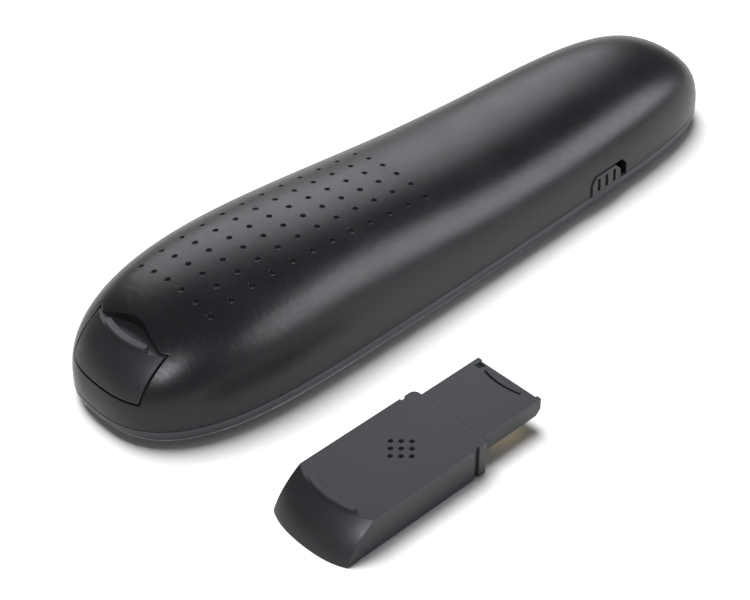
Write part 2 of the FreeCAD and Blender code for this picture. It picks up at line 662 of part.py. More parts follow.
def button(name):
    """A cap with a retaining flange inside the shell and a plain sign cut in its face."""
    cap = button_plate(name, 0, BUTTON_RECESS, FACE_WALL + FLANGE_GAP)
    flange_top = FACE_WALL + FLANGE_GAP + FLANGE_THICKNESS
    flange = button_plate(name, FLANGE_MARGIN, FACE_WALL + FLANGE_GAP, flange_top)
    return cap.fuse(flange).cut(button_mark(name))


def button_mark(name):
    """A triangle for next and back, a ring for the laser and a bar for the blank screen."""
    from_tail, y, half_length, half_width = BUTTONS[name]
    x, size = at(from_tail), 0.4 * min(half_length, half_width)
    z0, z1 = BUTTON_RECESS - 1, BUTTON_RECESS + MARK_DEPTH
    if name in ("next", "back"):
        way = 1 if name == "next" else -1
        return prism([(x - size, y - way * size * 0.8), (x + size, y - way * size * 0.8),
                      (x, y + way * size)], z0, z1)
    if name == "laser":
        return rod(x, y, z0, size, z1 - z0).cut(rod(x, y, z0, 0.6 * size, z1 - z0))
    return box(x - 0.5 * size, x + 0.5 * size, y - size, y + size, z0, z1)


def plunger(name):
    """The small stem that a button lifts into its switch."""
    from_tail, y, _, _ = BUTTONS[name]
    z0 = FACE_WALL + FLANGE_GAP + FLANGE_THICKNESS
    z1 = BOARD_Z - TACT_HEIGHT + PLUNGER_ENTRY
    return rod(at(from_tail), y, z0, PLUNGER_RADIUS, z1 - z0)


def tact_switches():
    """The four switch housings under the board, each with its bore facing down."""
    made = []
    for from_tail, y, _, _ in BUTTONS.values():
        x, half, z0 = at(from_tail), TACT_SIDE / 2, BOARD_Z - TACT_HEIGHT
        housing = box(x - half, x + half, y - half, y + half, z0, BOARD_Z)
        made.append(housing.cut(rod(x, y, z0 - 1, TACT_BORE_RADIUS, 1 + TACT_BORE_DEPTH)))
    return Part.makeCompound(made)


def power_knob():
    """The slider: its face follows the body, a neck passes the slot, and a plate inside
    keeps it in."""
    x0, x1 = KNOB_X, KNOB_X + KNOB_LENGTH
    low, high = SEAM_Z + KNOB_GAP, SLOT_TOP_Z - KNOB_GAP
    wall_y = NECK_HALF_WIDTH - SHELL_WALL
    plate_y = -(wall_y - KNOB_PLATE_INSET - 0.35)
    cap = box(x0, x1, -TALL, plate_y, low, high).common(back_solid(-KNOB_PROUD))
    top = [e for e in cap.Edges if e.BoundBox.ZMin > high - 0.01 and e.BoundBox.XLength < 0.01]
    if top:
        cap = cap.makeChamfer(SLOT_CORNER, top)
    middle = (x0 + x1) / 2
    for number in range(KNOB_GROOVES):
        x = middle + (number - (KNOB_GROOVES - 1) / 2) * KNOB_GROOVE_PITCH
        half = KNOB_GROOVE_WIDTH / 2
        bar = box(x - half, x + half, -TALL, plate_y, low + 0.5, high - 0.4)
        cap = cap.cut(bar.cut(back_solid(KNOB_GROOVE_DEPTH - KNOB_PROUD)))
    plate = box(x0 - KNOB_PLATE_OVERLAP, x1 + KNOB_PLATE_OVERLAP,
                plate_y, plate_y + KNOB_PLATE_THICKNESS, low, low + KNOB_PLATE_HEIGHT)
    plate = plate.common(back_solid(SHELL_WALL + KNOB_PLATE_INSET))
    return cap.fuse(plate).cut(lever_shape(0.02))


def lever_place():
    """The lever's X and Z and the two ends of its Y."""
    x = KNOB_X + KNOB_LENGTH - 1.6
    plate_y = -(NECK_HALF_WIDTH - SHELL_WALL - KNOB_PLATE_INSET - 0.35)
    z = BOARD_TOP_Z + SWITCH_HEIGHT / 2
    return x, z, plate_y + 0.1, -(SWITCH_BACK_Y + 0.6)


def lever_shape(grow):
    x, z, y0, y1 = lever_place()
    return box(x - LEVER_WIDTH / 2 - grow, x + LEVER_WIDTH / 2 + grow, y0 - grow, y1,
               z - LEVER_HEIGHT / 2 - grow, z + LEVER_HEIGHT / 2 + grow)


def power_switch():
    """The fixed switch body on the board's edge, slotted for its lever."""
    x, z, _, y1 = lever_place()
    x0 = x + KNOB_TRAVEL / 2 - SWITCH_LENGTH / 2
    body = box(x0, x0 + SWITCH_LENGTH, -(SWITCH_BACK_Y + SWITCH_DEPTH), -SWITCH_BACK_Y,
               BOARD_TOP_Z, BOARD_TOP_Z + SWITCH_HEIGHT)
    gap = 0.15
    slot = box(x - LEVER_WIDTH / 2 - gap, x + LEVER_WIDTH / 2 + KNOB_TRAVEL + gap,
               -TALL, y1 + gap, z - LEVER_HEIGHT / 2 - gap, z + LEVER_HEIGHT / 2 + gap)
    return body.cut(slot)


def on_board(from_start, y, length, width, height):
    x = BOARD_START_X + from_start
    return box(x, x + length, y - width / 2, y + width / 2, BOARD_TOP_Z, BOARD_TOP_Z + height)


def board_parts():
    """The small resistors and capacitors on the board's top, in two rows."""
    made = []
    for number in range(5):
        made.append(on_board(8.4 + 1.5 * number, 5.2, 0.6, 1.2, 0.5))
        made.append(on_board(8.4 + 1.5 * number, -5.2, 0.6, 1.2, 0.5))
    return Part.makeCompound(made)


def status_led():
    x = at(LED_FROM_TAIL)
    return box(x - LED_LENGTH / 2, x + LED_LENGTH / 2, -LED_WIDTH / 2, LED_WIDTH / 2,
               BOARD_Z - LED_HEIGHT, BOARD_Z)


def light_pipe():
    """A clear pin from just inside the face to the light, with a collar on the face."""
    top = BOARD_Z - LED_HEIGHT - 0.05
    x = at(LED_FROM_TAIL)
    pin = rod(x, 0, BUTTON_RECESS / 2, PIPE_RADIUS, top - BUTTON_RECESS / 2)
    return pin.fuse(rod(x, 0, FACE_WALL, PIPE_RADIUS + 0.35, 0.5))


def laser_barrel():
    barrel = rod(BARREL_START_X, 0, LASER_Z, BARREL_RADIUS, BARREL_LENGTH, V(1, 0, 0))
    bore = BARREL_RADIUS - BARREL_WALL
    return barrel.cut(rod(BARREL_START_X - 1, 0, LASER_Z, bore, BARREL_LENGTH + 2, V(1, 0, 0)))


def laser_diode():
    """The diode's flange fills the barrel's rear, with its can ahead."""
    bore = BARREL_RADIUS - BARREL_WALL
    flange = rod(BARREL_START_X, 0, LASER_Z, bore, DIODE_FLANGE_HEIGHT, V(1, 0, 0))
    can = rod(BARREL_START_X, 0, LASER_Z, DIODE_CAN_RADIUS,
              DIODE_FLANGE_HEIGHT + DIODE_CAN_LENGTH, V(1, 0, 0))
    return flange.fuse(can)


def laser_lens():
    bore = BARREL_RADIUS - BARREL_WALL
    x = BARREL_END_X - LENS_INSET - LENS_THICKNESS
    disc = rod(x, 0, LASER_Z, bore, LENS_THICKNESS, V(1, 0, 0))
    dome = Part.makeSphere(2.4 * bore, V(x + LENS_THICKNESS - 2.4 * bore, 0, LASER_Z))
    return disc.common(dome)


def laser_leads():
    """Two leads bent from the diode down to the board."""
    made = []
    for side in (-1, 1):
        x = BARREL_START_X - 0.9
        y = side * LEAD_SPREAD
        level = rod(x - LEAD_RADIUS, y, LASER_Z, LEAD_RADIUS, BARREL_START_X - x + LEAD_RADIUS, V(1, 0, 0))
        drop = rod(x, y, BOARD_TOP_Z, LEAD_RADIUS, LASER_Z - BOARD_TOP_Z)
        made.append(level.fuse(drop))
    return Part.makeCompound(made)


def laser_holder():
    """A saddle on the board that grips the barrel's rear."""
    half = BARREL_RADIUS + HOLDER_WALL
    x0 = BARREL_START_X + 0.2
    saddle = box(x0, x0 + HOLDER_LENGTH, -half, half, BOARD_TOP_Z, LASER_Z + 0.4)
    bore = BARREL_RADIUS + BARREL_SEAT_CLEARANCE
    return saddle.cut(rod(x0 - 1, 0, LASER_Z, bore, HOLDER_LENGTH + 2, V(1, 0, 0)))


def laser_window():
    return rod(WINDOW_X, 0, LASER_Z, WINDOW_RADIUS, WINDOW_THICKNESS, V(1, 0, 0))


def receiver_block():
    """The docked receiver's outside: a block whose tail is the body's own surface, with
    rounded front corners and a snap groove on each side."""
    half = RECEIVER_WIDTH / 2
    block = slab(TAIL_X - 5, RECEIVER_FRONT_X, -half, half,
                 RECEIVER_BOTTOM_Z, RECEIVER_TOP_Z, RECEIVER_CORNER)
    block = block.common(BACK)
    groove = RECEIVER_FRONT_X - SNAP_GROOVE_FROM_FRONT
    for side in (-1, 1):
        y0, y1 = sorted((side * (half - SNAP_GROOVE_DEPTH), side * (half + 1)))
        block = block.cut(box(groove - SNAP_GROOVE_WIDTH / 2, groove + SNAP_GROOVE_WIDTH / 2,
                              y0, y1, 0, TALL))
    return block


def arc_bar():
    """The raised ridge on the receiver's top, bowed towards the tail with round ends."""
    sag, half, radius = RIDGE_SAG, RIDGE_HALF_SPAN, RIDGE_WIDTH / 2
    end_x = at(RIDGE_FROM_TAIL) + sag
    bend = (half ** 2 + sag ** 2) / (2 * sag)
    centre = at(RIDGE_FROM_TAIL) + bend
    z0, z1 = RECEIVER_TOP_Z - 0.1, RECEIVER_TOP_Z + RIDGE_HEIGHT
    ring = rod(centre, 0, z0, bend + radius, z1 - z0).cut(rod(centre, 0, z0, bend - radius, z1 - z0))
    spread = math.atan2(half, bend - sag)
    far = 3 * bend
    wedge = prism([(centre, 0), (centre - far, far * math.tan(spread)),
                   (centre - far, -far * math.tan(spread))], z0 - 1, z1 + 1)
    bar = ring.common(wedge)
    for side in (-1, 1):
        bar = bar.fuse(rod(end_x, side * half, z0, radius, z1 - z0))
    return bar


def vents():
    """Nine small holes in a square grid turned by 45 degrees."""
    x0 = RECEIVER_FRONT_X - VENT_FROM_FRONT
    step = VENT_PITCH / math.sqrt(2)
    depth = RECEIVER_WALL + 0.1
    return Part.makeCompound([
        rod(x0 + (i + j) * step, (i - j) * step, RECEIVER_TOP_Z - depth, VENT_RADIUS, depth + 1)
        for i in (-1, 0, 1) for j in (-1, 0, 1)])


def receiver_room():
    """The hollow inside the receiver's casing."""
    half = RECEIVER_WIDTH / 2 - RECEIVER_WALL - SNAP_GROOVE_DEPTH
    inner = back_solid(RECEIVER_WALL)
    room = box(TAIL_X, RECEIVER_FRONT_X - RECEIVER_WALL, -half, half,
               RECEIVER_BOTTOM_Z - 1, RECEIVER_TOP_Z - RECEIVER_WALL)
    return room.common(inner)


def receiver_base_plate(grow):
    """The plate that closes the receiver from below."""
    half = RECEIVER_WIDTH / 2 - RECEIVER_WALL - SNAP_GROOVE_DEPTH - 0.1 + grow
    x0 = at(SCOOP_CORNER_FROM_TAIL) - 3.5 - grow
    return box(x0, RECEIVER_FRONT_X - RECEIVER_WALL - 0.1 + grow, -half, half,
               RECEIVER_BOTTOM_Z, RECEIVER_BOTTOM_Z + RECEIVER_BASE_WALL)


def plug_hole(grow):
    half = PLUG_WIDTH / 2 + grow
    top = RECEIVER_TOP_Z - PLUG_DROP
    return box(RECEIVER_FRONT_X - PLUG_ROOT, RECEIVER_FRONT_X + 1, -half, half,
               top - PLUG_HEIGHT - grow, top + grow)


def receiver_shell():
    shell = receiver_block().fuse(arc_bar())
    shell = shell.cut(receiver_room()).cut(receiver_base_plate(0.1))
    shell = shell.cut(vents())
    return shell.cut(plug_hole(0.02))


def receiver_base():
    return receiver_base_plate(0)


def receiver_plug():
    """A flat tongue without a metal jacket: two side ears stand past a lowered tip, and a
    fine curved slit lies across its top."""
    top = RECEIVER_TOP_Z - PLUG_DROP
    half = PLUG_WIDTH / 2
    x0 = RECEIVER_FRONT_X - PLUG_ROOT
    tongue = box(x0, PLUG_TIP_X, -half, half, top - PLUG_HEIGHT, top)
    edges = [e for e in tongue.Edges if e.BoundBox.XMin > PLUG_TIP_X - 1e-6
             and e.BoundBox.YLength > 1 and e.BoundBox.ZMax < top - 1e-6]
    tongue = tongue.makeChamfer(0.3 * PLUG_HEIGHT, edges)
    inside = half - PLUG_EAR
    tongue = tongue.cut(box(PLUG_TIP_X - 0.6 * PLUG_EAR_LENGTH, PLUG_TIP_X + 1, -inside, inside,
                            top - PLUG_TIP_DROP, top + 1))
    notch = box(PLUG_TIP_X - PLUG_EAR_LENGTH, PLUG_TIP_X - 0.3, inside - 1.0, inside,
                top - 2 * PLUG_TIP_DROP, top + 1)
    tongue = tongue.cut(notch)
    sag, chord = KEY_SLOT_SAG, KEY_SLOT_LENGTH / 2
    bend = (chord ** 2 + sag ** 2) / (2 * sag)
    centre = PLUG_TIP_X - KEY_SLOT_FROM_TIP + bend
    slit = rod(centre, 0, top - 0.5, bend, 1).cut(rod(centre, 0, top - 0.5, bend - KEY_SLOT_WIDTH, 1))
    slit = slit.common(box(PLUG_TIP_X - 6, PLUG_TIP_X, -chord, chord, top - 1, top + 1))
    return tongue.cut(slit).cut(pads(0))


def pads(grow):
    """The contacts let into the plug's underside."""
    low = RECEIVER_TOP_Z - PLUG_DROP - PLUG_HEIGHT
    x1 = PLUG_TIP_X - 1.5
    made = []
    for number in range(CONTACT_COUNT):
        y = (number - (CONTACT_COUNT - 1) / 2) * CONTACT_PITCH
        made.append(box(x1 - CONTACT_LENGTH, x1, y - CONTACT_WIDTH / 2, y + CONTACT_WIDTH / 2,
                        low, low + CONTACT_THICKNESS))
    return Part.makeCompound(made)


def stick_board_z():
    return RECEIVER_BOTTOM_Z + RECEIVER_BASE_WALL


def receiver_board():
    """The small board inside, lying on the base plate."""
    half = RECEIVER_WIDTH / 2 - RECEIVER_WALL - SNAP_GROOVE_DEPTH - 0.3
    x1 = RECEIVER_FRONT_X - PLUG_ROOT - 0.3
    z = stick_board_z()
    return box(x1 - STICK_BOARD_LENGTH, x1, -half, half, z, z + STICK_BOARD_THICKNESS)


def receiver_chip():
    x1 = RECEIVER_FRONT_X - PLUG_ROOT - 3
    z = stick_board_z() + STICK_BOARD_THICKNESS
    half = STICK_CHIP_SIDE / 2
    return box(x1 - STICK_CHIP_SIDE, x1, -half, half, z, z + STICK_CHIP_HEIGHT)


def receiver_nodes():
    return {
        "shell": receiver_shell(),
        "base": receiver_base(),
        "plug": receiver_plug(),
        "contacts": pads(0),
        "board": receiver_board(),
        "chip": receiver_chip(),
    }


def build():
    os.makedirs("parts", exist_ok=True)
    nodes = {
        "grip_shell": grip_shell(),
        "control_shell": control_shell(),
        "battery_door": battery_door(),
        "battery_tray": battery_tray(),
        "cell_left": cell(-1),
        "cell_right": cell(1),
        "cell_plates": cell_plates(),
        "cell_springs": cell_springs(),
        "dock_sleeve": dock_sleeve(),
        "dock_clips": dock_clips(),
        "case_screws": case_screws(),
        "main_board": main_board(),
        "board_screws": board_screws(),
        "tact_switches": tact_switches(),
        "power_knob": power_knob(),
        "power_lever": lever_shape(0),
        "power_switch": power_switch(),
        "radio_chip": on_board(3.0, 1.5, 4.0, 4.0, 0.9),
        "memory_chip": on_board(3.2, -3.2, 3.0, 3.0, 0.8),
        "crystal": on_board(8.6, 0, 2.5, 3.2, 0.7),
        "antenna": on_board(8.4, 8.2, 5.0, 1.6, 0.8),
        "board_parts": board_parts(),
        "status_led": status_led(),
        "light_pipe": light_pipe(),
        "laser_barrel": laser_barrel(),
        "laser_diode": laser_diode(),
        "laser_lens": laser_lens(),
        "laser_leads": laser_leads(),
        "laser_holder": laser_holder(),
        "laser_window": laser_window(),
    }
    for name in BUTTONS:
        nodes[name + "_button"] = button(name)
        nodes[name + "_plunger"] = plunger(name)
    shift = V(LOOSE_SHIFT_X, LOOSE_SHIFT_Y, -RECEIVER_BOTTOM_Z)
    for name, shape in receiver_nodes().items():
        nodes["docked_" + name] = shape
        nodes["loose_" + name] = shape.translated(shift)
    return {name: write(name, shape) for name, shape in nodes.items()}


if __name__ == "__main__":
    build()
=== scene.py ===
import json
import math

import bpy
import numpy as np
from bpy.props import FloatProperty, FloatVectorProperty, PointerProperty
from mathutils import Matrix, Vector


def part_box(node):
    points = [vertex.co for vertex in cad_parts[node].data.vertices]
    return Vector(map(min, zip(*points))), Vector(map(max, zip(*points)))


bl_info = {
    "name": "Presentation Clicker",
    "version": (1, 0, 0),
    "blender": (4, 5, 0),
    "location": "View3D > Sidebar > Clicker",
    "description": "Finishes and studio for a hand-held presentation clicker",
    "category": "Object",
}

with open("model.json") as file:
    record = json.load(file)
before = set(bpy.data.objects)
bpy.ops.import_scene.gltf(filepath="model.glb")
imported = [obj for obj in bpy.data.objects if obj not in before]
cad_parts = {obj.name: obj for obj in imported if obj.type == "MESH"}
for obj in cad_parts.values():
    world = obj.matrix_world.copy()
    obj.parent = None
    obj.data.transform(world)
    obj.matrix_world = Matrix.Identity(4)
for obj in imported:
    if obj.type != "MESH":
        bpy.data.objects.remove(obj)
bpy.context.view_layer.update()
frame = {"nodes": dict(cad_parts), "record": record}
NODES = frame["nodes"]


# Shader maths

# A rounded normal along the flat one: open surface above the first, edge below the second
OPEN_SURFACE = 0.995
FULL_EDGE = 0.85
EDGE_SAMPLES = 6


class Wire:
    """A value on its way between shader nodes. Plain maths on it adds Math nodes."""

    def __init__(self, finish, socket):
        self.finish = finish
        self.socket = socket

    def maths(self, operation, first, second):
        """A Math node on two values."""
        return self.finish.node(
            "ShaderNodeMath", {"operation": operation}, {0: first, 1: second})

    def __add__(self, other):
        return self.maths("ADD", self, other)

    def __radd__(self, other):
        return self.maths("ADD", other, self)

    def __sub__(self, other):
        return self.maths("SUBTRACT", self, other)

    def __rsub__(self, other):
        return self.maths("SUBTRACT", other, self)

    def __mul__(self, other):
        return self.maths("MULTIPLY", self, other)

    def __rmul__(self, other):
        return self.maths("MULTIPLY", other, self)

    def __gt__(self, other):
        return self.maths("GREATER_THAN", self, other)

    def __lt__(self, other):
        return self.maths("LESS_THAN", self, other)


class Finish:
    """One procedural material, or the room's light, built up node by node."""

    def __init__(self, name, kind="materials"):
        self.material = getattr(bpy.data, kind).new(name)
        self.material.use_nodes = True
        self.tree = self.material.node_tree
        self.tree.nodes.clear()

    def node(self, kind, settings=None, values=None, output=0):
        """Adds a node: its settings first, then the values or wires of its sockets."""
        made = self.tree.nodes.new(kind)
        for key, value in (settings or {}).items():
            if key == "stops":
                ramp = made.color_ramp.elements
                while len(ramp) < len(value):
                    ramp.new(0.5)
                for stop, (position, colour) in zip(ramp, value):
                    stop.position = position
                    stop.color = colour
            else:
                setattr(made, key, value)
        for key, value in (values or {}).items():
            if isinstance(value, Wire):
                self.tree.links.new(value.socket, made.inputs[key])
            else:
                made.inputs[key].default_value = value
        return Wire(self, made.outputs[output])

    def place(self):
        """Where a point is on the object, in metres."""
        return self.node("ShaderNodeTexCoord", output="Object")

    def noise(self, size, detail=2.0):
        """Smooth noise whose patches are about size metres wide."""
        return self.node("ShaderNodeTexNoise", None, {
            "Vector": self.place(), "Scale": 1.0 / size, "Detail": detail})

    def ramp(self, value, stops):
        """A colour ramp. Each stop is a position and a colour."""
        return self.node("ShaderNodeValToRGB", {"stops": stops}, {"Fac": value})

    def spread(self, value, low, high, to_low=0.0, to_high=1.0):
        """Maps low..high to to_low..to_high and holds it there."""
        return self.node("ShaderNodeMapRange", {"clamp": True}, {
            "Value": value, "From Min": low, "From Max": high,
            "To Min": to_low, "To Max": to_high})

    def mix(self, amount, first, second):
        """A colour between two colours."""
        made = self.node("ShaderNodeMix", {"data_type": "RGBA"}, {"Factor": amount}, output=2)
        for index, colour in ((6, first), (7, second)):
            socket = made.socket.node.inputs[index]
            if isinstance(colour, Wire):
                self.tree.links.new(colour.socket, socket)
            else:
                socket.default_value = (*colour, 1.0)
        return made

    def bump(self, height, depth, normal=None):
        """Relief as deep as depth in metres, on top of another normal if one is given."""
        values = {"Height": height, "Distance": depth, "Strength": 1.0}
        if normal:
            values["Normal"] = normal
        return self.node("ShaderNodeBump", None, values)

    def rounded(self, radius):
        """The normal of the surface with its edges rounded by that radius."""
        return self.node("ShaderNodeBevel", {"samples": EDGE_SAMPLES}, {"Radius": radius})

    def edges(self, normal):
        """0 on the open surface, towards 1 on a rounded edge."""
        flat = self.node("ShaderNodeNewGeometry", output="Normal")
        along = self.node("ShaderNodeVectorMath", {"operation": "DOT_PRODUCT"},
                          {0: normal, 1: flat}, output="Value")
        return self.spread(along, OPEN_SURFACE, FULL_EDGE)

    def surface(self, **values):
        """The closing shader. Keys are its sockets' names with _ for a space."""
        named = {key.replace("_", " "): value for key, value in values.items()}
        shader = self.node("ShaderNodeBsdfPrincipled", None, named)
        self.close(shader)
        return self.material

    def close(self, shader, kind="Material"):
        """Links a shader to the output."""
        made = self.tree.nodes.new("ShaderNodeOutput" + kind)
        self.tree.links.new(shader.socket, made.inputs["Surface"])


def shade(colour, factor):
    """A colour made lighter or darker."""
    return tuple(min(1.0, channel * factor) for channel in colour)


def opaque(colour):
    """A colour with full alpha."""
    return (*colour, 1.0)


# Finishes. Sizes are in metres.

PATCH_SIZE = 9e-3
SPECK_TO_GRAIN = 3.2
RUBBED_SHADE = 1.9
METAL_EDGE = 0.08e-3
SMALL_PART_EDGE = 0.06e-3

# How often a pattern repeats in a metre
SCRATCHES = (600.0, 9000.0, 5000.0)
BOARD_MOTTLE = 420.0
BOARD_TRACKS = 330.0
BOARD_VIAS = 310.0

PLASTIC_IOR = 1.4
RUBBER_IOR = 1.43
CLEAR_IOR = 1.49
CLEARNESS = 0.85

TIN = (0.62, 0.6, 0.55)
CERAMIC_END = (0.5, 0.36, 0.22)
CELL_BAND = (0.62, 0.38, 0.12)
CELL_TRIM = (0.8, 0.8, 0.8)

# A cell's sleeve, as shares of its length from its first end
SLEEVE_START = 0.02
SLEEVE_END = 0.95
BAND_START = 0.70
TRIM_START = 0.68


def moulded(name, colour, roughness, grain, depth, edge, rub=0.25):
    """Injection-moulded plastic: fine grain, slow change in gloss, rubbed edges."""
    finish = Finish(name)
    soft = finish.rounded(edge)
    rubbed = finish.edges(soft)
    patch = finish.noise(PATCH_SIZE, detail=3.0)
    fine = finish.noise(grain, detail=3.0)
    speck = finish.noise(grain * SPECK_TO_GRAIN)
    tone = finish.spread(patch, 0.3, 0.7)
    base = finish.mix(tone, shade(colour, 0.93), shade(colour, 1.08))
    worn = finish.mix(rubbed * rub, base, shade(colour, RUBBED_SHADE))
    gloss = finish.spread(patch, 0.3, 0.7, roughness - 0.025, roughness + 0.03)
    gloss = gloss + finish.spread(speck, 0.35, 0.65, -0.03, 0.03) - rubbed * 0.06
    relief = finish.bump(fine, depth, soft)
    return finish.surface(Base_Color=worn, Roughness=gloss, Normal=relief,
                          IOR=PLASTIC_IOR)


def rubber(name, colour):
    """Matt silicone rubber with a faint dusty bloom."""
    finish = Finish(name)
    soft = finish.rounded(radius=0.25e-3)
    bloom = finish.noise(size=3.5e-3, detail=4.0)
    fine = finish.noise(size=0.11e-3)
    base = finish.mix(finish.spread(bloom, 0.35, 0.75), colour, shade(colour, 1.35))
    gloss = finish.spread(bloom, 0.3, 0.7, 0.62, 0.74)
    return finish.surface(Base_Color=base, Roughness=gloss,
                          Normal=finish.bump(fine, depth=4e-6, normal=soft), IOR=RUBBER_IOR)


def plated(name, colour, roughness):
    """Plated or turned metal with fine scratches and a slight tarnish."""
    finish = Finish(name)
    soft = finish.rounded(METAL_EDGE)
    stretched = finish.node("ShaderNodeMapping", None, {
        "Vector": finish.place(), "Scale": SCRATCHES})
    scratch = finish.node("ShaderNodeTexNoise", None,
                          {"Vector": stretched, "Scale": 1.0, "Detail": 3.0})
    tarnish = finish.noise(size=2.2e-3, detail=3.0)
    base = finish.mix(finish.spread(tarnish, 0.35, 0.8), colour, shade(colour, 0.8))
    gloss = finish.spread(scratch, 0.3, 0.7, roughness - 0.06, roughness + 0.08)
    return finish.surface(Base_Color=base, Metallic=1.0, Roughness=gloss,
                          Normal=finish.bump(scratch, depth=1.5e-6, normal=soft))


def circuit_board(name, colour):
    """Solder resist over copper: pale tracks, tinned vias and a glossy lacquer."""
    finish = Finish(name)
    place = finish.place()
    cells = finish.node("ShaderNodeTexVoronoi", {"distance": "CHEBYCHEV", "feature": "F1"},
                        {"Vector": place, "Scale": BOARD_MOTTLE})
    tracks = finish.node("ShaderNodeTexBrick", {"offset": 0.37}, {
        "Vector": place, "Scale": BOARD_TRACKS, "Mortar Size": 0.11, "Mortar Smooth": 0.3,
        "Brick Width": 1.3, "Row Height": 0.45}, output="Fac")
    vias = finish.node("ShaderNodeTexVoronoi", {"feature": "F1"},
                       {"Vector": place, "Scale": BOARD_VIAS})
    ring = finish.spread(vias, 0.10, 0.13, 1.0, 0.0)
    base = finish.mix(tracks * 0.6, colour, shade(colour, 1.9))
    base = finish.mix(ring, base, TIN)
    height = tracks * 0.6 + cells * 0.1 + ring * 0.5
    return finish.surface(Base_Color=base, Metallic=ring,
                          Normal=finish.bump(height, depth=2.5e-5),
                          Roughness=finish.spread(ring, 0.0, 1.0, 0.32, 0.4), Coat_Weight=0.3)


def chip_epoxy(name, colour):
    """Black moulding compound, a little speckled, with a laser-dulled top."""
    finish = Finish(name)
    grain = finish.noise(size=0.07e-3, detail=3.0)
    base = finish.mix(finish.spread(grain, 0.4, 0.7), colour, shade(colour, 2.2))
    gloss = finish.spread(grain, 0.3, 0.7, 0.5, 0.66)
    soft = finish.rounded(SMALL_PART_EDGE)
    return finish.surface(Base_Color=base, Roughness=gloss,
                          Normal=finish.bump(grain, depth=5e-6, normal=soft))


def glazed(name, colour):
    """Ceramic parts with tinned ends that come from a slow noise."""
    finish = Finish(name)
    tint = finish.noise(size=1.4e-3)
    base = finish.ramp(tint, [(0.42, opaque(colour)), (0.52, opaque(shade(colour, 0.55))),
                              (0.62, opaque(CERAMIC_END))])
    return finish.surface(Base_Color=base, Normal=finish.rounded(SMALL_PART_EDGE),
                          Roughness=finish.spread(tint, 0.3, 0.7, 0.22, 0.4))


def clear_plastic(name, colour, roughness):
    """Clear moulded plastic with faint flow marks."""
    finish = Finish(name)
    flow = finish.noise(size=1.8e-3)
    base = finish.mix(finish.spread(flow, 0.3, 0.7), colour, shade(colour, 0.92))
    return finish.surface(Base_Color=base, Transmission_Weight=CLEARNESS, IOR=CLEAR_IOR,
                          Roughness=finish.spread(flow, 0.3, 0.7, roughness, roughness + 0.05),
                          Normal=finish.bump(flow, depth=8e-6))


def cell_sleeve(name, colour, first, last, metal):
    """A cell's printed sleeve between two bare metal ends, with a plain colour band."""
    finish = Finish(name)
    along = finish.node("ShaderNodeSeparateXYZ", None, {"Vector": finish.place()}, output="X")
    length = last - first
    before_end = along < first + SLEEVE_END * length
    inside = (along > first + SLEEVE_START * length) * before_end
    band = (along > first + BAND_START * length) * before_end
    trim = (along > first + TRIM_START * length) * (along < first + BAND_START * length)
    print_grain = finish.noise(size=0.9e-3, detail=3.0)
    base = finish.mix(finish.spread(print_grain, 0.35, 0.7), colour, shade(colour, 1.25))
    base = finish.mix(band, base, CELL_BAND)
    base = finish.mix(trim, base, CELL_TRIM)
    base = finish.mix(inside, metal, base)
    gloss = finish.spread(print_grain, 0.3, 0.7, 0.22, 0.32)
    return finish.surface(Base_Color=base, Metallic=1.0 - inside * 0.75, Roughness=gloss,
                          Normal=finish.bump(print_grain, depth=3e-6),
                          Coat_Weight=inside * 0.4)


# Settings


class ClickerLooks(bpy.types.PropertyGroup):
    """Colours and finishes of the clicker."""

    shell_colour: FloatVectorProperty(
        name="Shell", description="Colour of the dimpled back",
        subtype="COLOR", size=3, min=0, max=1, default=(0.0100, 0.0105, 0.0120))
    face_colour: FloatVectorProperty(
        name="Control face", description="Colour of the lower shell and its rim",
        subtype="COLOR", size=3, min=0, max=1, default=(0.060, 0.061, 0.065))
    receiver_colour: FloatVectorProperty(
        name="Receivers", description="Colour of the two stick receivers",
        subtype="COLOR", size=3, min=0, max=1, default=(0.028, 0.029, 0.0315))
    slider_colour: FloatVectorProperty(
        name="Slider", description="Colour of the power slider's cap",
        subtype="COLOR", size=3, min=0, max=1, default=(0.030, 0.031, 0.033))
    inner_colour: FloatVectorProperty(
        name="Inner parts", description="Colour of the trays and plungers inside",
        subtype="COLOR", size=3, min=0, max=1, default=(0.09, 0.09, 0.09))
    key_colour: FloatVectorProperty(
        name="Keys", description="Colour of the rubber keys",
        subtype="COLOR", size=3, min=0, max=1, default=(0.028, 0.028, 0.030))
    shell_roughness: FloatProperty(
        name="Shell roughness", description="How matt the back is",
        subtype="FACTOR", min=0, max=1, default=0.34)
    grain: FloatProperty(
        name="Grain", description="Width of the moulded grain",
        subtype="DISTANCE", unit="LENGTH", min=1e-5, max=1e-2, default=0.14e-3)
    grain_depth: FloatProperty(
        name="Grain depth", description="Depth of the moulded grain",
        subtype="DISTANCE", unit="LENGTH", min=0, max=1e-4, default=3.0e-6)


